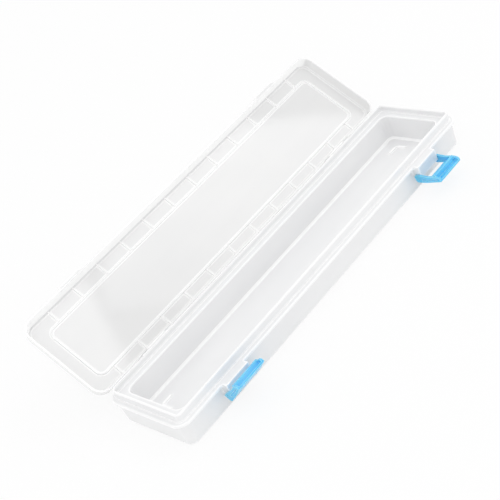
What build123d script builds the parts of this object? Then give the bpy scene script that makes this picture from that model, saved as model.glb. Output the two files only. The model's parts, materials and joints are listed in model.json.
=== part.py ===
from build123d import *
from math import cos, radians, sin
import os

os.makedirs("parts", exist_ok=True)

# Long pen box of clear plastic: +X runs along the box, the latches face -Y, the hinge side is +Y.
# The origin is the middle of the base's underside. All lengths are millimetres.

# Tray
cavity_length = 316.0
cavity_width = 54.0
cavity_depth = 21.2
cavity_corner = 4.5
cavity_draft = 1.4
floor_fillet = 1.8
floor_thickness = 2.0
wall = 1.6

# Rim of the tray: a ledge round the mouth, an upstanding tongue and a lower flange outside it
ledge_width = 5.8
ledge_thickness = 1.8
tongue_thickness = 1.4
tongue_height = 5.0
tongue_corner = 4.0
flange_width = 4.3
flange_thickness = 2.2
flange_drop = 1.6
rim_edge = 0.4
rim_corner = 10.5

# Outer wall of the tray, open below
skirt_inset = 3.8
skirt_draft = 1.2
skirt_corner = 6.0

# Corner ridges on the tray's floor
floor_ridge_end_distance = 10.0
floor_ridge_side_distance = 12.0
floor_ridge_corner = 4.0
floor_ridge_thickness = 2.0
floor_ridge_leg = 11.0
floor_ridge_height = 0.6

# Lid
lid_height = 10.4
lid_draft = 1.6
lid_top_thickness = 1.2
lid_wall = 1.4
lid_top_fillet = 2.2
lid_inner_chamfer = 1.0
lid_gap = 0.1
panel_inset = 14.0
panel_hinge_inset = 12.0
panel_corner = 6.0
panel_ridge_width = 1.3
panel_ridge_height = 0.8
rib_pitch = 26.0
rib_count = 12
rib_thickness = 1.0
rib_height = 0.7
catch_reach = 2.0
catch_height = 7.0
catch_depth = 6.6
catch_round = 0.5
lid_open_angle = 141.0

# Hinge
hinge_offset = 1.6
hinge_end_distance = 58.0
hinge_station_length = 32.0
hinge_ear_length = 6.7
hinge_side_clearance = 0.3
knuckle_radius = 2.0
knuckle_clearance = 0.3
hinge_pin_radius = 1.0
hinge_pin_clearance = 0.05
hinge_pin_length = 5.0
hinge_web_inset = 1.2
stop_fin_thickness = 2.5
stop_fin_reach = 3.4
stop_fin_height = 2.4
stop_fin_clearance = 0.24

# Latches
latch_end_distance = 53.5
latch_width = 27.0
latch_arm = 1.7
latch_side_clearance = 0.3
latch_length = 21.0
latch_tail = 2.6
latch_plate_start = 7.5
latch_plate_thickness = 1.6
latch_outer = 4.8
latch_arm_back = 1.8
latch_tip_back = 0.4
latch_end_wall = 1.4
latch_corner = 1.6
latch_hook_clearance = 0.12
latch_hook_thickness = 1.5
latch_hook_reach = 1.3
latch_pivot_out = 2.3
latch_pivot_drop = 8.2
latch_pin_radius = 1.5
latch_pin_clearance = 0.05
latch_pin_end_clearance = 0.1
latch_bore_skin = 0.6
near_latch_elevation = 45.0
far_latch_elevation = 8.0
closed_elevation = 90.0

# Latch brackets on the tray
bracket_out = 4.4
bracket_ear = 2.2
bracket_front = 1.6
bracket_below_pivot = 2.4

# How far a cut runs past the face that it opens
overcut = 1.0

# Derived sizes
mouth_top = floor_thickness + cavity_depth
rim_top = mouth_top + tongue_height
seam = mouth_top - flange_drop
flange_bottom = seam - flange_thickness
tongue_length = cavity_length + 2 * (ledge_width + tongue_thickness)
tongue_width = cavity_width + 2 * (ledge_width + tongue_thickness)
outer_length = tongue_length + 2 * flange_width
outer_width = tongue_width + 2 * flange_width
skirt_length = outer_length - 2 * skirt_inset
skirt_width = outer_width - 2 * skirt_inset
floor_ridge_length = cavity_length - 2 * floor_ridge_end_distance
floor_ridge_width = cavity_width - 2 * floor_ridge_side_distance
hinge_y = outer_width / 2 + hinge_offset
hinge_station_x = outer_length / 2 - hinge_end_distance
latch_x = outer_length / 2 - latch_end_distance
pivot_y = -(outer_width / 2 + latch_pivot_out)
pivot_z = seam - latch_pivot_drop
knuckle_half = hinge_station_length / 2 - hinge_ear_length - hinge_side_clearance
bracket_half = latch_width / 2 - latch_arm - latch_side_clearance


def plate(length, width, corner, bottom, top):
    """Upright prism of a rounded rectangle between two heights."""
    outline = Plane.XY.offset(bottom) * RectangleRounded(length, width, corner)
    return extrude(outline, top - bottom)


def tapered(length, width, corner, bottom, top, spread):
    """Rounded rectangle that grows by spread on every side from its bottom to its top."""
    low = Plane.XY.offset(bottom) * RectangleRounded(length, width, corner)
    high = Plane.XY.offset(top) * RectangleRounded(length + 2 * spread, width + 2 * spread, corner + spread)
    return loft([low.face(), high.face()], ruled=True)


def block(x0, x1, y0, y1, z0, z1):
    """Box between three pairs of coordinates."""
    size = Box(x1 - x0, y1 - y0, z1 - z0)
    return Pos((x0 + x1) / 2, (y0 + y1) / 2, (z0 + z1) / 2) * size


def rod(radius, x0, x1, y, z):
    """Cylinder along X between two ends."""
    return Pos((x0 + x1) / 2, y, z) * Rot(0, 90, 0) * Cylinder(radius, x1 - x0)


def profile_along_x(points, x0, x1):
    """Solid from a closed outline of (y, z) points, carried along X."""
    outline = make_face(Polyline(*[(0.0, y, z) for y, z in points], close=True))
    solid = extrude(outline, x1 - x0, dir=(1, 0, 0))
    return Pos(x0, 0, 0) * solid


def cavity_space():
    """The space inside the tray, wider at its mouth, with a rounded floor edge."""
    space = tapered(
        cavity_length - 2 * cavity_draft,
        cavity_width - 2 * cavity_draft,
        cavity_corner,
        floor_thickness,
        mouth_top,
        cavity_draft,
    )
    return fillet(space.edges().group_by(Axis.Z)[0], floor_fillet)


def rim_space():
    """The space above the ledge, inside the tongue."""
    return plate(
        tongue_length - 2 * tongue_thickness,
        tongue_width - 2 * tongue_thickness,
        tongue_corner - tongue_thickness,
        mouth_top,
        rim_top + overcut,
    )


def channel_space():
    """The space between the inner tub and the outer wall, open below and closed by the rim above."""
    space = tapered(
        skirt_length - 2 * wall,
        skirt_width - 2 * wall,
        skirt_corner - wall,
        0,
        flange_bottom,
        skirt_draft,
    )
    space += plate(
        tongue_length - 2 * tongue_thickness,
        tongue_width - 2 * tongue_thickness,
        tongue_corner - tongue_thickness,
        flange_bottom,
        mouth_top - ledge_thickness,
    )
    tub = tapered(
        cavity_length - 2 * cavity_draft + 2 * wall,
        cavity_width - 2 * cavity_draft + 2 * wall,
        cavity_corner + wall,
        0,
        mouth_top,
        cavity_draft,
    )
    return space - tub


def tray_body():
    """Outer wall, flange and tongue as one full block, not yet hollow."""
    skirt = tapered(skirt_length, skirt_width, skirt_corner, 0, flange_bottom, skirt_draft)
    skirt = chamfer(skirt.edges().group_by(Axis.Z)[0], rim_edge)
    flange = plate(outer_length, outer_width, rim_corner, flange_bottom, seam)
    flange = fillet(flange.edges().group_by(Axis.Z)[-1], rim_edge)
    flange = chamfer(flange.edges().group_by(Axis.Z)[0], rim_edge)
    tongue = plate(tongue_length, tongue_width, tongue_corner, flange_bottom, rim_top)
    tongue = chamfer(tongue.edges().group_by(Axis.Z)[-1], rim_edge)
    return skirt + flange + tongue


def floor_ridges():
    """Four low L-shaped ridges near the corners of the floor."""
    bottom = floor_thickness / 2
    top = floor_thickness + floor_ridge_height
    outer = plate(floor_ridge_length, floor_ridge_width, floor_ridge_corner, bottom, top)
    inner = plate(
        floor_ridge_length - 2 * floor_ridge_thickness,
        floor_ridge_width - 2 * floor_ridge_thickness,
        floor_ridge_corner - floor_ridge_thickness,
        bottom,
        top,
    )
    ring = outer - inner
    keep_x = floor_ridge_length / 2 - floor_ridge_leg
    keep_y = floor_ridge_width / 2 - floor_ridge_leg
    ring -= block(-keep_x, keep_x, -outer_width, outer_width, bottom, top)
    ring -= block(-outer_length, outer_length, -keep_y, keep_y, bottom, top)
    return ring


def latch_bracket(x):
    """Hollow block that carries the rim outwards and holds one latch on two stub pins."""
    front = -(outer_width / 2 + bracket_out)
    back = -(skirt_width / 2 - wall / 2)
    low = pivot_z - bracket_below_pivot
    knee = pivot_y + bracket_below_pivot
    x0 = x - bracket_half
    x1 = x + bracket_half
    outline = [
        (back, seam),
        (front, seam),
        (front, pivot_z - bracket_below_pivot / 2),
        (front + bracket_below_pivot / 2, low),
        (knee, low),
        (back, pivot_z + bracket_below_pivot),
    ]
    solid = profile_along_x(outline, x0, x1)
    hollow = block(
        x0 + bracket_ear,
        x1 - bracket_ear,
        front + bracket_front,
        0,
        low - overcut,
        flange_bottom,
    )
    solid = solid - hollow
    arm_reach = latch_side_clearance + latch_arm - latch_bore_skin - latch_pin_end_clearance
    pins = rod(latch_pin_radius, x0 - arm_reach, x0 + bracket_ear, pivot_y, pivot_z)
    pins += rod(latch_pin_radius, x1 - bracket_ear, x1 + arm_reach, pivot_y, pivot_z)
    return solid + pins


def hinge_ears(x):
    """Two bored knuckles on the tray's rim at one hinge station."""
    ears = None
    for side in (-1, 1):
        ends = sorted(
            (
                x + side * hinge_station_length / 2,
                x + side * (hinge_station_length / 2 - hinge_ear_length),
            )
        )
        root = outer_width / 2 - hinge_web_inset
        ear = rod(knuckle_radius, ends[0], ends[1], hinge_y, seam)
        ear += block(ends[0], ends[1], root, hinge_y, flange_bottom, seam)
        ears = ear if ears is None else ears + ear
    bore = rod(
        hinge_pin_radius + hinge_pin_clearance,
        x - hinge_station_length,
        x + hinge_station_length,
        hinge_y,
        seam,
    )
    return ears - bore


def make_base():
    """Tray with hinge ears and latch brackets in one moulding, hollowed last from above and below."""
    body = tray_body()
    for side in (-1, 1):
        x = side * hinge_station_x
        notch = knuckle_half + hinge_side_clearance
        body -= rod(knuckle_radius + knuckle_clearance, x - notch, x + notch, hinge_y, seam)
        body += hinge_ears(x)
        body += latch_bracket(side * latch_x)
    body = body - rim_space() - cavity_space() - channel_space()
    return body + floor_ridges()


def lid_shell():
    """Shallow closed lid with leaning walls and rounded top edges."""
    bottom = seam + lid_gap
    top = seam + lid_height
    outside = tapered(outer_length, outer_width, rim_corner, bottom, top, -lid_draft)
    outside = fillet(outside.edges().group_by(Axis.Z)[-1], lid_top_fillet)
    inside = tapered(
        outer_length - 2 * lid_wall,
        outer_width - 2 * lid_wall,
        rim_corner - lid_wall,
        bottom,
        top - lid_top_thickness,
        -lid_draft,
    )
    inside = chamfer(inside.edges().group_by(Axis.Z)[-1], lid_inner_chamfer)
    return outside - inside


def panel_ridge():
    """Raised rounded rectangle inside the lid, a little nearer to the hinge."""
    ceiling = seam + lid_height - lid_top_thickness
    length = outer_length - 2 * panel_inset
    width = outer_width - panel_inset - panel_hinge_inset
    outer = plate(length, width, panel_corner, ceiling - panel_ridge_height, ceiling)
    inner = plate(
        length - 2 * panel_ridge_width,
        width - 2 * panel_ridge_width,
        panel_corner - panel_ridge_width,
        ceiling - panel_ridge_height,
        ceiling,
    )
    return Pos(0, (panel_inset - panel_hinge_inset) / 2, 0) * (outer - inner)


def lid_ribs():
    """Short cross ribs between the raised rectangle and the two long walls."""
    ceiling = seam + lid_height - lid_top_thickness
    outer_edge = outer_width / 2 - lid_wall - lid_draft / 2
    ribs = []
    for side, inset in ((-1, panel_inset), (1, panel_hinge_inset)):
        inner_edge = outer_width / 2 - inset - panel_ridge_width / 2
        near, far = sorted((side * inner_edge, side * outer_edge))
        for index in range(rib_count):
            x = (index - (rib_count - 1) / 2) * rib_pitch
            ribs.append(
                block(
                    x - rib_thickness / 2,
                    x + rib_thickness / 2,
                    near,
                    far,
                    ceiling - rib_height,
                    ceiling + lid_top_thickness / 2,
                )
            )
    return ribs


def lid_catch(x):
    """Bar on the lid's front wall that the hook of one latch holds down."""
    half = bracket_half - latch_side_clearance
    front = -(outer_width / 2 + catch_reach)
    back = -(outer_width / 2 - lid_draft * catch_height / lid_height - lid_wall / 2)
    top = seam + catch_height
    bar = block(x - half, x + half, front, back, top - catch_depth, top)
    return fillet(bar.edges().filter_by(Axis.X).sort_by(Axis.Y)[:2], catch_round)


def lid_knuckle(x):
    """Middle knuckle of one hinge station with its two stub pins."""
    barrel = rod(knuckle_radius, x - knuckle_half, x + knuckle_half, hinge_y, seam)
    web = block(
        x - knuckle_half,
        x + knuckle_half,
        outer_width / 2 - hinge_web_inset,
        hinge_y,
        seam + lid_gap,
        seam + lid_gap + knuckle_radius,
    )
    reach = knuckle_half + hinge_side_clearance + hinge_pin_length
    pins = rod(hinge_pin_radius, x - reach, x + reach, hinge_y, seam)
    return barrel + web + pins


def stop_fin(x):
    """Fin beside a hinge station that meets the flange's lower edge when the lid is fully open."""
    swing = radians(lid_open_angle)
    edge_y = -(hinge_offset + rim_edge)
    edge_z = -flange_thickness
    touch = edge_y * sin(swing) + edge_z * cos(swing)
    return block(
        x - stop_fin_thickness / 2,
        x + stop_fin_thickness / 2,
        outer_width / 2 - hinge_web_inset,
        hinge_y + stop_fin_reach,
        seam + touch + stop_fin_clearance,
        seam + stop_fin_height,
    )


def make_lid():
    """Lid in its closed place with ridge, ribs, catches, knuckles and stop fins."""
    lid = lid_shell() + panel_ridge()
    lid += lid_ribs()
    for side in (-1, 1):
        x = side * hinge_station_x
        for end in (-1, 1):
            middle = x + end * (hinge_station_length - hinge_ear_length) / 2
            half = hinge_ear_length / 2 + hinge_side_clearance
            lid -= rod(knuckle_radius + knuckle_clearance, middle - half, middle + half, hinge_y, seam)
        lid += lid_knuckle(x)
        station_end = hinge_station_x + hinge_station_length / 2 + hinge_side_clearance
        lid += stop_fin(side * (station_end + stop_fin_thickness))
        lid += lid_catch(side * latch_x)
    return lid


def swing_about_x(solid, y, z, angle):
    """Turn a solid about a line along X."""
    return Pos(0, y, z) * Rot(angle, 0, 0) * Pos(0, -y, -z) * solid


def latch_tray(x):
    """Closed latch: side arms, plate, end wall and hook, with blind bores for the bracket's pins."""
    half = latch_width / 2
    tip = latch_length
    outer_face = pivot_y - latch_outer
    back = pivot_y + latch_arm_back
    tip_back = pivot_y + latch_tip_back
    side = [
        (outer_face, pivot_z - latch_tail + latch_corner),
        (outer_face, pivot_z + tip),
        (tip_back, pivot_z + tip),
        (tip_back, pivot_z + latch_plate_start + latch_hook_thickness),
        (back, pivot_z + latch_arm_back),
        (back, pivot_z - latch_arm_back),
        (tip_back, pivot_z - latch_tail),
        (outer_face + latch_corner, pivot_z - latch_tail),
    ]
    body = profile_along_x(side, x - half, x + half)
    body = fillet(body.edges().filter_by(Axis.Y).sort_by(Axis.Z)[-2:], latch_corner)
    inner_half = half - latch_arm
    plate_inner = outer_face + latch_plate_thickness
    body -= block(
        x - inner_half,
        x + inner_half,
        plate_inner,
        pivot_y + latch_length,
        pivot_z - latch_length,
        pivot_z + tip - latch_end_wall,
    )
    body -= block(
        x - inner_half,
        x + inner_half,
        outer_face - overcut,
        plate_inner,
        pivot_z - latch_length,
        pivot_z + latch_plate_start,
    )
    hook_bottom = seam + catch_height + latch_hook_clearance
    hook_inner = -(outer_width / 2 + catch_reach) + latch_hook_reach
    hook = block(
        x - inner_half,
        x + inner_half,
        plate_inner - latch_plate_thickness / 2,
        hook_inner,
        hook_bottom,
        hook_bottom + latch_hook_thickness,
    )
    bore = rod(
        latch_pin_radius + latch_pin_clearance,
        x - half + latch_bore_skin,
        x + half - latch_bore_skin,
        pivot_y,
        pivot_z,
    )
    return body + hook - bore


def make_latch(x, elevation):
    """One latch swung out from its closed place to an elevation above the table's plane."""
    return swing_about_x(latch_tray(x), pivot_y, pivot_z, closed_elevation - elevation)


base = make_base()
lid = swing_about_x(make_lid(), hinge_y, seam, -lid_open_angle)
latch_near = make_latch(-latch_x, near_latch_elevation)
latch_far = make_latch(latch_x, far_latch_elevation)

export_step(base, "parts/base.step")
export_step(lid, "parts/lid.step")
export_step(latch_near, "parts/latch_near.step")
export_step(latch_far, "parts/latch_far.step")
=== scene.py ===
import json
from math import radians

import bmesh
import bpy
from mathutils import Matrix, Vector


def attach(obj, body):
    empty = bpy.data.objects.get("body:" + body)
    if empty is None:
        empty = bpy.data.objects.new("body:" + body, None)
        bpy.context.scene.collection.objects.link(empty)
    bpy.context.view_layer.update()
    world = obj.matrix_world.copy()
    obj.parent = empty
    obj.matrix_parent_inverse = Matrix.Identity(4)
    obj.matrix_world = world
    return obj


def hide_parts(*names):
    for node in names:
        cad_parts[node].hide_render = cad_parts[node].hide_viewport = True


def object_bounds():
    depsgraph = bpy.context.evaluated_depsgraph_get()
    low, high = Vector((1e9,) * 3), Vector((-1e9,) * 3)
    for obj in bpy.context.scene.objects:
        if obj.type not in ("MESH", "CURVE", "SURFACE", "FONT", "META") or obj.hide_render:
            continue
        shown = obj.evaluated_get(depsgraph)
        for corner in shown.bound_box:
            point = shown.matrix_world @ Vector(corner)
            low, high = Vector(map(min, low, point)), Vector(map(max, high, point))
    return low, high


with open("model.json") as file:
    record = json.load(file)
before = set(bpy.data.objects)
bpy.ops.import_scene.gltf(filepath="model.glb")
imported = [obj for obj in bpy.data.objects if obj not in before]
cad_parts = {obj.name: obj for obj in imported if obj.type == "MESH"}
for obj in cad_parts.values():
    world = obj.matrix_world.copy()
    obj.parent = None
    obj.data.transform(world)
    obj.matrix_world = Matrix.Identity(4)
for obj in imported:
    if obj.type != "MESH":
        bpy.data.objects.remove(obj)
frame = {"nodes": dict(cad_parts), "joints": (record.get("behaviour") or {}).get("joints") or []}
cad_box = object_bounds()

# The camera looks down from the near left corner and is rolled, as in the photograph. Metres and degrees.
CAMERA_PLACE = (-0.42179, -0.56433, 0.50687)
CAMERA_TURN = (53.417, 21.419, -49.626)
FOCAL_PIXELS = 1178.4
FRAME_PIXELS = 500.0
SENSOR_MM = 36.0

# Light levels: a white matt surface facing up renders just under white
AMBIENT_LEVEL = 0.92
KEY_POWER = 1.5
KEY_SIZE = 1.2
KEY_PLACE = (-0.5, -0.3, 1.5)

# Softboxes that the lid's smooth inner face mirrors: four strips side by side, each weaker than the last,
# and one patch. SOFTBOX_AIM is the way up to them. A row is name, place, sides, turn in degrees, power.
SOFTBOX_AIM = (0.5435, -0.3617, 0.7575)
STRIP = (0.095, 0.60)
PATCH = (0.30, 0.18)
SOFTBOXES = (
    ("softbox_far_1", (0.8917, -0.4219, 1.3367), STRIP, 0.0, 0.43),
    ("softbox_far_2", (0.8391, -0.5010, 1.3367), STRIP, 0.0, 0.37),
    ("softbox_far_3", (0.7864, -0.5801, 1.3367), STRIP, 0.0, 0.30),
    ("softbox_far_4", (0.7338, -0.6592, 1.3367), STRIP, 0.0, 0.23),
    ("softbox_near", (0.4261, -0.5930, 1.5845), PATCH, 23.0, 0.42),
)

# White floor just under the box
FLOOR_SIZE = 6.0
FLOOR_GAP = 0.0002
FLOOR_TONE = (0.95, 0.95, 0.95)
FLOOR_SHADOW_SHARE = 0.14

# Both plastics. Noise lies mostly within NOISE_RANGE.
PLASTIC_IOR = 1.49
BEVEL_SAMPLES = 8
NOISE_RANGE = (0.3, 0.7)
ISOTROPIC = (1.0, 1.0, 1.0)
WHITE = (1.0, 1.0, 1.0)

# Clear plastic: the first tone and roughness are those of its darker clouds, the second of its paler ones
TRAY_TONES = ((0.900, 0.902, 0.910), (0.940, 0.942, 0.946))
TRAY_ROUGHNESS = (0.04, 0.09)
# The lid's tones are darker than the tray's: painted shade on the same clear plastic
LID_PAINTED_SHADE_TONES = ((0.795, 0.796, 0.797), (0.830, 0.830, 0.827))
LID_ROUGHNESS = (0.02, 0.05)
CLEAR_TRANSMISSION = 0.02
CLOUD_SCALE = 14.0
CLOUD_SHARE = 0.6
FLOW_SCALE = 60.0
FLOW_DETAIL = 3.0
FLOW_STRETCH = (0.15, 1.0, 1.0)
GRAIN_SCALE = 1400.0
RIPPLE_SCALE = 180.0
RIPPLE_DETAIL = 1.0
RIPPLE_SHARE = 1.5
CLEAR_RELIEF_DEPTH = 0.00002
CLEAR_RELIEF_STRENGTH = 0.3
CLEAR_ROUNDING = 0.0005

# Painted highlight and painted glow: thin edges, and the corner round the tray's floor, are painted white
# and given a glow, standing in for light on them
PAINTED_EDGE_REACH = 0.0026
PAINTED_EDGE_COSINES = (0.93, 0.998)
PAINTED_GLOW_STRENGTH = 0.09
FLOOR_CORNER_HEIGHT = (0.0023, 0.0040)
FLOOR_CORNER_FADE = 0.0003
CAVITY_HALF_WIDTH = 0.0266
CAVITY_HALF_LENGTH = 0.1576
CAVITY_FADE = 0.0002

# The open lid. Its inner face looks along LID_UP, the inside of its front wall down the slope to the hinge,
# and the chamfer between the two along LID_CHAMFER_FACING.
LID_UP = (0.0, -0.629, 0.777)
LID_DOWN_SLOPE = (0.0, -0.777, -0.629)
LID_CHAMFER_FACING = (0.0, -0.994, 0.105)
LID_TOP_COSINES = (0.5, 0.9)
LID_FRONT_COSINE = 0.5
LID_CHAMFER_COSINE = 0.96
# Painted light: the lid's walls are painted paler than its top
LID_WALL_PAINTED_LIGHT_TONE = (0.93, 0.93, 0.927)
# Painted shade: the chamfer in the crease between wall and top is painted darker
LID_CHAMFER_PAINTED_SHADE_TONE = (0.86, 0.86, 0.865)
# Painted glow on the inside of the lid's front wall: where it lies and how strong it is
LID_FRONT_HEIGHT = (0.052, 0.080)
LID_FRONT_FADE = 0.001
LID_FRONT_PAINTED_GLOW = 2.1

# Blue plastic
BLUE_TONES = ((0.10, 0.55, 0.90), (0.20, 0.66, 0.96))
BLUE_ROUGHNESS = (0.26, 0.38)
# Painted highlight: colour and mask for the paler latch edges
BLUE_EDGE_PAINTED_HIGHLIGHT = (0.45, 0.85, 1.0)
BLUE_EDGE_REACH = 0.0006
BLUE_EDGE_COSINES = (0.90, 0.995)
BLUE_SUBSURFACE = 0.4
BLUE_SUBSURFACE_RADIUS = (0.2, 0.7, 1.0)
BLUE_SUBSURFACE_SCALE = 0.002
BLUE_CLOUD_SCALE = 90.0
BLUE_CLOUD_SHARE = 0.5
BLUE_STREAK_SCALE = 900.0
BLUE_STREAK_STRETCH = (0.08, 1.0, 1.0)
BLUE_GRAIN_SCALE = 1600.0
BLUE_RELIEF_DEPTH = 0.00005
BLUE_RELIEF_STRENGTH = 0.5
BLUE_ROUNDING = 0.0004

# Latches: outlines are (y, z) from the pivot with the latch closed, at its joint's lower limit
LATCHES = ("latch_near", "latch_far")
LATCH_WIDTH = 0.027
LATCH_ARM = 0.0017
LATCH_SIDE = (
    (-0.0048, -0.0010), (-0.0048, 0.0075), (-0.0039, 0.0210), (-0.0016, 0.0210),
    (-0.0004, 0.0196), (0.0004, 0.0168), (0.0004, 0.0090), (0.0018, 0.0018),
    (0.0018, -0.0018), (0.0004, -0.0026), (-0.0034, -0.0026),
)
LATCH_HOLLOW = (
    (-0.0033, -0.0060), (-0.0033, 0.0075), (-0.0024, 0.0210),
    (-0.0024, 0.0230), (0.0060, 0.0230), (0.0060, -0.0060),
)
LATCH_WINDOW = ((-0.0080, -0.0060), (-0.0080, 0.0075), (-0.0020, 0.0075), (-0.0020, -0.0060))
LATCH_GROOVE = ((-0.0030, 0.0035), (-0.0026, 0.0180), (-0.0016, 0.0180), (-0.0012, 0.0035))
LATCH_GROOVE_DEPTH = 0.0004
LATCH_HOOK = ((-0.0032, 0.01532), (0.0013, 0.01532), (0.0016, 0.0157), (0.0010, 0.01682), (-0.0032, 0.0172))
LATCH_BORE = 0.00155
LATCH_BORE_SKIN = 0.0006
LATCH_BORE_SIDES = 40
LATCH_EDGE = 0.0003
LATCH_EDGE_STEPS = 3
LATCH_EDGE_ANGLE = 25.0


def make_camera():
    """Long lens at the photograph's place, with no shift and no depth of field."""
    data = bpy.data.cameras.new("camera")
    data.sensor_fit = "HORIZONTAL"
    data.sensor_width = SENSOR_MM
    data.lens = FOCAL_PIXELS / FRAME_PIXELS * SENSOR_MM
    camera = bpy.data.objects.new("camera", data)
    camera.location = CAMERA_PLACE
    camera.rotation_euler = [radians(angle) for angle in CAMERA_TURN]
    bpy.context.scene.collection.objects.link(camera)
    bpy.context.scene.camera = camera


def light_path_mask(tree):
    """A value of 1 for rays that should meet the plain white background."""
    path = tree.nodes.new("ShaderNodeLightPath")
    mask = path.outputs["Is Camera Ray"]
    for kind in ("Is Glossy Ray", "Is Transmission Ray"):
        either = tree.nodes.new("ShaderNodeMath")
        either.operation = "MAXIMUM"
        tree.links.new(mask, either.inputs[0])
        tree.links.new(path.outputs[kind], either.inputs[1])
        mask = either.outputs[0]
    return mask


def make_world():
    """Even ambient light, seen as plain white by the camera and in reflections."""
    world = bpy.data.worlds.new("world")
    bpy.context.scene.world = world
    world.use_nodes = True
    tree = world.node_tree
    tree.nodes.clear()
    mix = tree.nodes.new("ShaderNodeMixShader")
    tree.links.new(light_path_mask(tree), mix.inputs[0])
    for socket, level in ((mix.inputs[1], AMBIENT_LEVEL), (mix.inputs[2], 1.0)):
        background = tree.nodes.new("ShaderNodeBackground")
        background.inputs["Color"].default_value = (*WHITE, 1.0)
        background.inputs["Strength"].default_value = level
        tree.links.new(background.outputs[0], socket)
    output = tree.nodes.new("ShaderNodeOutputWorld")
    tree.links.new(mix.outputs[0], output.inputs["Surface"])


def make_key_light():
    """One large soft lamp above the near side."""
    data = bpy.data.lights.new("key", "AREA")
    data.shape = "DISK"
    data.size = KEY_SIZE
    data.energy = KEY_POWER
    lamp = bpy.data.objects.new("key", data)
    lamp.location = KEY_PLACE
    lamp.rotation_euler = lamp.location.to_track_quat("Z", "Y").to_euler()
    bpy.context.scene.collection.objects.link(lamp)


def make_softboxes():
    """Rectangular lamps whose reflections lighten parts of the lid's inner face."""
    aim = Vector(SOFTBOX_AIM).to_track_quat("Z", "Y").to_matrix().to_4x4()
    for name, place, sides, turn, power in SOFTBOXES:
        data = bpy.data.lights.new(name, "AREA")
        data.shape = "RECTANGLE"
        data.size, data.size_y = sides
        data.energy = power
        lamp = bpy.data.objects.new(name, data)
        lamp.matrix_world = Matrix.Translation(place) @ aim @ Matrix.Rotation(radians(turn), 4, "Z")
        lamp.visible_camera = False
        bpy.context.scene.collection.objects.link(lamp)


def make_floor():
    """White floor that keeps a faint shadow of the box."""
    material = bpy.data.materials.new("floor")
    material.use_nodes = True
    tree = material.node_tree
    tree.nodes.clear()
    matt = tree.nodes.new("ShaderNodeBsdfDiffuse")
    matt.inputs["Color"].default_value = (*FLOOR_TONE, 1.0)
    white = tree.nodes.new("ShaderNodeEmission")
    white.inputs["Strength"].default_value = 1.0
    share = tree.nodes.new("ShaderNodeMath")
    share.operation = "MULTIPLY"
    share.inputs[1].default_value = 1.0 - FLOOR_SHADOW_SHARE
    mix = tree.nodes.new("ShaderNodeMixShader")
    output = tree.nodes.new("ShaderNodeOutputMaterial")
    tree.links.new(light_path_mask(tree), share.inputs[0])
    tree.links.new(share.outputs[0], mix.inputs[0])
    tree.links.new(matt.outputs[0], mix.inputs[1])
    tree.links.new(white.outputs[0], mix.inputs[2])
    tree.links.new(mix.outputs[0], output.inputs["Surface"])
    bpy.ops.mesh.primitive_plane_add(size=FLOOR_SIZE, location=(0.0, 0.0, cad_box[0][2] - FLOOR_GAP))
    floor = bpy.context.object
    floor.name = "floor"
    floor.data.materials.append(material)


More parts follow.
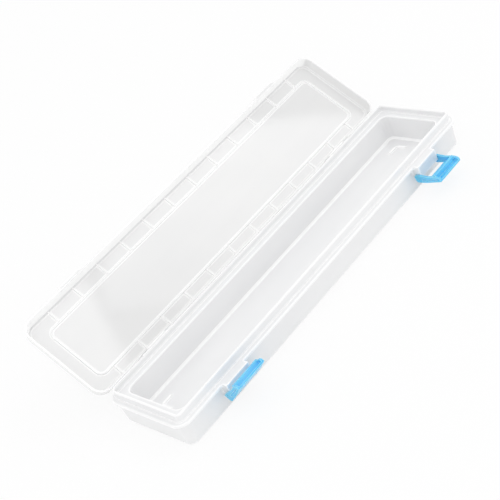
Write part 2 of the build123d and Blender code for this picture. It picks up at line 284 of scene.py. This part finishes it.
class Tree:
    """A plastic's material, with short names for the nodes that the plastics share."""

    def __init__(self, name):
        self.material = bpy.data.materials.new(name)
        self.material.use_nodes = True
        self.nodes = self.material.node_tree.nodes
        self.links = self.material.node_tree.links
        self.shader = self.nodes["Principled BSDF"]
        self.shader.inputs["IOR"].default_value = PLASTIC_IOR
        coordinates = self.nodes.new("ShaderNodeTexCoord")
        self.place = coordinates.outputs["Object"]
        self.facing = coordinates.outputs["Normal"]

    def feed(self, socket, value):
        """Link a socket, or set it where the value is a plain one."""
        if isinstance(value, bpy.types.NodeSocket):
            self.links.new(value, socket)
        else:
            socket.default_value = value

    def math(self, operation, first, second=0.0):
        """One operation on sockets or plain numbers."""
        node = self.nodes.new("ShaderNodeMath")
        node.operation = operation
        self.feed(node.inputs[0], first)
        self.feed(node.inputs[1], second)
        return node.outputs[0]

    def dot(self, first, second):
        """Dot product of a direction's socket and another one, or a plain direction."""
        node = self.nodes.new("ShaderNodeVectorMath")
        node.operation = "DOT_PRODUCT"
        self.links.new(first, node.inputs[0])
        self.feed(node.inputs[1], second)
        return node.outputs["Value"]

    def noise(self, scale, detail=2.0, stretch=ISOTROPIC):
        """Noise between 0 and 1, with its coordinates multiplied by stretch."""
        mapping = self.nodes.new("ShaderNodeMapping")
        mapping.inputs["Scale"].default_value = stretch
        self.links.new(self.place, mapping.inputs["Vector"])
        node = self.nodes.new("ShaderNodeTexNoise")
        node.inputs["Scale"].default_value = scale
        node.inputs["Detail"].default_value = detail
        self.links.new(mapping.outputs[0], node.inputs["Vector"])
        return node.outputs["Fac"]

    def shared(self, first, second, share):
        """Two values added up, the first by its share and the second by the rest."""
        rest = self.math("MULTIPLY", second, 1.0 - share)
        return self.math("ADD", self.math("MULTIPLY", first, share), rest)

    def spread(self, value, low, high, limits=NOISE_RANGE):
        """Map a value between two limits to a range, and hold it at the ends of the range beyond them."""
        node = self.nodes.new("ShaderNodeMapRange")
        node.inputs["From Min"].default_value = limits[0]
        node.inputs["From Max"].default_value = limits[1]
        node.inputs["To Min"].default_value = low
        node.inputs["To Max"].default_value = high
        self.links.new(value, node.inputs["Value"])
        return node.outputs[0]

    def blend(self, factor, first, second):
        """Mix of two colours. Sockets 6 and 7 of the node take colours, and 2 gives one."""
        node = self.nodes.new("ShaderNodeMix")
        node.data_type = "RGBA"
        self.feed(node.inputs[0], factor)
        for socket, color in ((node.inputs[6], first), (node.inputs[7], second)):
            self.feed(socket, (*color, 1.0) if isinstance(color, tuple) else color)
        return node.outputs[2]

    def rounded(self, radius):
        """Normals as if every edge were rounded by a radius."""
        bevel = self.nodes.new("ShaderNodeBevel")
        bevel.samples = BEVEL_SAMPLES
        bevel.inputs["Radius"].default_value = radius
        return bevel.outputs[0]

    def edges(self, radius, cosines):
        """1 on edges and thin ridges, 0 on flat faces."""
        geometry = self.nodes.new("ShaderNodeNewGeometry")
        return self.spread(self.dot(self.rounded(radius), geometry.outputs["Normal"]), 1.0, 0.0, cosines)

    def band(self, axis, low, high, fade):
        """1 where the distance from the origin along one axis lies between two limits."""
        split = self.nodes.new("ShaderNodeSeparateXYZ")
        self.links.new(self.place, split.inputs[0])
        value = self.math("ABSOLUTE", split.outputs[axis])
        rise = self.spread(value, 0.0, 1.0, (low - fade, low))
        fall = self.spread(value, 1.0, 0.0, (high, high + fade))
        return self.math("MULTIPLY", rise, fall)

    def across(self, direction, cosines):
        """1 on faces that stand across a direction, 0 on faces that look along it or back."""
        return self.spread(self.math("ABSOLUTE", self.dot(self.facing, direction)), 1.0, 0.0, cosines)

    def towards(self, direction, cosine):
        """1 on faces that look along a direction, 0 on those whose cosine to it is under a limit."""
        return self.spread(self.dot(self.facing, direction), 0.0, 1.0, (cosine, (1.0 + cosine) / 2))

    def relief(self, height, depth, strength, rounding):
        """Fine relief on a surface whose edges are a little rounded."""
        node = self.nodes.new("ShaderNodeBump")
        self.links.new(self.rounded(rounding), node.inputs["Normal"])
        node.inputs["Strength"].default_value = strength
        node.inputs["Distance"].default_value = depth
        self.links.new(height, node.inputs["Height"])
        self.links.new(node.outputs[0], self.shader.inputs["Normal"])


def painted_floor_corner_highlight(tree):
    """1 on the rounded corner between the tray's walls and its floor, where a painted highlight goes."""
    corner = tree.band("Z", *FLOOR_CORNER_HEIGHT, FLOOR_CORNER_FADE)
    corner = tree.math("MULTIPLY", corner, tree.band("Y", 0.0, CAVITY_HALF_WIDTH, CAVITY_FADE))
    return tree.math("MULTIPLY", corner, tree.band("X", 0.0, CAVITY_HALF_LENGTH, CAVITY_FADE))


def painted_lid_front_glow(tree):
    """How much painted glow the inside of the lid's front wall gets, standing in for light on it."""
    height = tree.band("Z", *LID_FRONT_HEIGHT, LID_FRONT_FADE)
    wall = tree.math("MULTIPLY", tree.towards(LID_DOWN_SLOPE, LID_FRONT_COSINE), height)
    return tree.math("MULTIPLY", wall, LID_FRONT_PAINTED_GLOW)


def clear_plastic(name, tones, roughness, is_lid=False):
    """Frosted clear plastic: milky and a little cloudy, with a painted highlight and a painted glow on its
    edges and on the corner round the tray's floor.

    The lid has darker tones as painted shade, its walls are painted paler than its top as painted light,
    its front wall has a painted glow, and the chamfer beside that wall is painted darker as shade, without
    the painted highlight.
    """
    tree = Tree(name)
    flow = tree.noise(FLOW_SCALE, FLOW_DETAIL, FLOW_STRETCH)
    tone = tree.shared(tree.noise(CLOUD_SCALE), flow, CLOUD_SHARE)
    body = tree.blend(tree.spread(tone, 0.0, 1.0), *tones)
    # Painted highlight: edges and the tray's floor corner are blended to white and given a painted glow
    painted_highlight = tree.math("MAXIMUM", tree.edges(PAINTED_EDGE_REACH, PAINTED_EDGE_COSINES), painted_floor_corner_highlight(tree))
    painted_glow = painted_highlight
    if is_lid:
        chamfer = tree.towards(LID_CHAMFER_FACING, LID_CHAMFER_COSINE)
        off_chamfer = tree.math("SUBTRACT", 1.0, chamfer)
        # Painted light: faces standing across the lid's top are painted paler
        body = tree.blend(tree.across(LID_UP, LID_TOP_COSINES), body, LID_WALL_PAINTED_LIGHT_TONE)
        # Painted shade on the chamfer in the crease, which also gets no painted highlight or glow
        body = tree.blend(chamfer, body, LID_CHAMFER_PAINTED_SHADE_TONE)
        # The painted glow on the lid's front wall joins the painted highlight, and neither reaches the
        # chamfer
        painted_glow = tree.math("MULTIPLY", tree.math("MAXIMUM", painted_highlight, painted_lid_front_glow(tree)), off_chamfer)
        painted_highlight = tree.math("MULTIPLY", painted_highlight, off_chamfer)
    tree.feed(tree.shader.inputs["Base Color"], tree.blend(painted_highlight, body, WHITE))
    tree.feed(tree.shader.inputs["Emission Strength"], tree.math("MULTIPLY", painted_glow, PAINTED_GLOW_STRENGTH))
    tree.shader.inputs["Emission Color"].default_value = (*WHITE, 1.0)
    tree.feed(tree.shader.inputs["Roughness"], tree.spread(tone, *roughness))
    tree.shader.inputs["Transmission Weight"].default_value = CLEAR_TRANSMISSION
    ripple = tree.math("MULTIPLY", tree.noise(RIPPLE_SCALE, RIPPLE_DETAIL), RIPPLE_SHARE)
    height = tree.math("ADD", tree.noise(GRAIN_SCALE), ripple)
    tree.relief(height, CLEAR_RELIEF_DEPTH, CLEAR_RELIEF_STRENGTH, CLEAR_ROUNDING)
    return tree.material


def blue_plastic():
    """Sky-blue moulded plastic with faint streaks along the latch and a painted highlight on its edges."""
    tree = Tree("blue_plastic")
    streaks = tree.noise(BLUE_STREAK_SCALE, stretch=BLUE_STREAK_STRETCH)
    tone = tree.shared(tree.noise(BLUE_CLOUD_SCALE), streaks, BLUE_CLOUD_SHARE)
    body = tree.blend(tree.spread(tone, 0.0, 1.0), *BLUE_TONES)
    # Painted highlight: edges are blended to a paler blue
    color = tree.blend(tree.edges(BLUE_EDGE_REACH, BLUE_EDGE_COSINES), body, BLUE_EDGE_PAINTED_HIGHLIGHT)
    tree.feed(tree.shader.inputs["Base Color"], color)
    tree.feed(tree.shader.inputs["Roughness"], tree.spread(streaks, *BLUE_ROUGHNESS))
    tree.shader.inputs["Subsurface Weight"].default_value = BLUE_SUBSURFACE
    tree.shader.inputs["Subsurface Radius"].default_value = BLUE_SUBSURFACE_RADIUS
    tree.shader.inputs["Subsurface Scale"].default_value = BLUE_SUBSURFACE_SCALE
    tree.relief(tree.noise(BLUE_GRAIN_SCALE), BLUE_RELIEF_DEPTH, BLUE_RELIEF_STRENGTH, BLUE_ROUNDING)
    return tree.material


def piece_of(shape, name):
    """Object in the scene with the mesh of a bmesh, which is freed."""
    mesh = bpy.data.meshes.new(name)
    shape.to_mesh(mesh)
    shape.free()
    piece = bpy.data.objects.new(name, mesh)
    bpy.context.scene.collection.objects.link(piece)
    return piece


def prism(name, outline, half_width):
    """Closed prism of an outline of (y, z) points, carried along X on both sides of the middle."""
    shape = bmesh.new()
    sides = [[shape.verts.new((x, y, z)) for y, z in outline] for x in (-half_width, half_width)]
    for side in sides:
        shape.faces.new(side)
    for index in range(len(outline)):
        following = (index + 1) % len(outline)
        shape.faces.new((sides[0][index], sides[0][following], sides[1][following], sides[1][index]))
    bmesh.ops.recalc_face_normals(shape, faces=shape.faces)
    return piece_of(shape, name)


def rod(name, radius, length):
    """Round rod along X, its middle at the origin."""
    shape = bmesh.new()
    turn = Matrix.Rotation(radians(90.0), 4, "Y")
    bmesh.ops.create_cone(shape, cap_ends=True, segments=LATCH_BORE_SIDES, radius1=radius, radius2=radius,
                          depth=length, matrix=turn)
    return piece_of(shape, name)


def apply_modifiers(piece):
    """Give a piece the mesh that its modifiers make, and clear them."""
    piece.data = bpy.data.meshes.new_from_object(piece.evaluated_get(bpy.context.evaluated_depsgraph_get()))
    piece.modifiers.clear()


def combine(piece, tool, operation):
    """Add a tool to a piece or cut it away, and drop the tool."""
    modifier = piece.modifiers.new("combine", "BOOLEAN")
    modifier.operation = operation
    modifier.solver = "EXACT"
    modifier.object = tool
    apply_modifiers(piece)
    bpy.data.objects.remove(tool)


def soften(piece):
    """Round the edges of a piece a little."""
    soft = piece.modifiers.new("soft_edges", "BEVEL")
    soft.width = LATCH_EDGE
    soft.segments = LATCH_EDGE_STEPS
    soft.limit_method = "ANGLE"
    soft.angle_limit = radians(LATCH_EDGE_ANGLE)
    soft.harden_normals = True
    apply_modifiers(piece)


def make_latch(joint, material):
    """Snap latch: two arms, a leaning plate between them and a hook bar, with soft moulded edges."""
    node = joint["child"]
    half = LATCH_WIDTH / 2
    inner = half - LATCH_ARM
    piece = prism(node + "_detail", LATCH_SIDE, half)
    combine(piece, prism("hollow", LATCH_HOLLOW, inner), "DIFFERENCE")
    combine(piece, prism("window", LATCH_WINDOW, inner), "DIFFERENCE")
    for side in (-1, 1):
        groove = prism("groove", LATCH_GROOVE, LATCH_GROOVE_DEPTH)
        groove.data.transform(Matrix.Translation((side * half, 0.0, 0.0)))
        combine(piece, groove, "DIFFERENCE")
    combine(piece, prism("hook", LATCH_HOOK, inner + LATCH_ARM / 2), "UNION")
    combine(piece, rod("bore", LATCH_BORE, LATCH_WIDTH - 2 * LATCH_BORE_SKIN), "DIFFERENCE")
    soften(piece)
    swing = Matrix.Rotation(radians(-joint["range_deg"][0]), 4, "X")
    piece.data.transform(Matrix.Translation(joint["pos_m"]) @ swing)
    piece.data.materials.clear()
    piece.data.materials.append(material)
    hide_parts(node)
    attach(piece, node)


def assign(node, material):
    """Give a node of the frame its material."""
    slots = frame["nodes"][node].data.materials
    slots.clear()
    slots.append(material)


bpy.context.scene.view_settings.view_transform = "Standard"
make_camera()
make_world()
make_key_light()
make_softboxes()
make_floor()

assign("base", clear_plastic("clear_plastic_tray", TRAY_TONES, TRAY_ROUGHNESS))
assign("lid", clear_plastic("clear_plastic_lid", LID_PAINTED_SHADE_TONES, LID_ROUGHNESS, is_lid=True))
blue = blue_plastic()
for joint in frame["joints"]:
    if joint["child"] in LATCHES:
        make_latch(joint, blue)
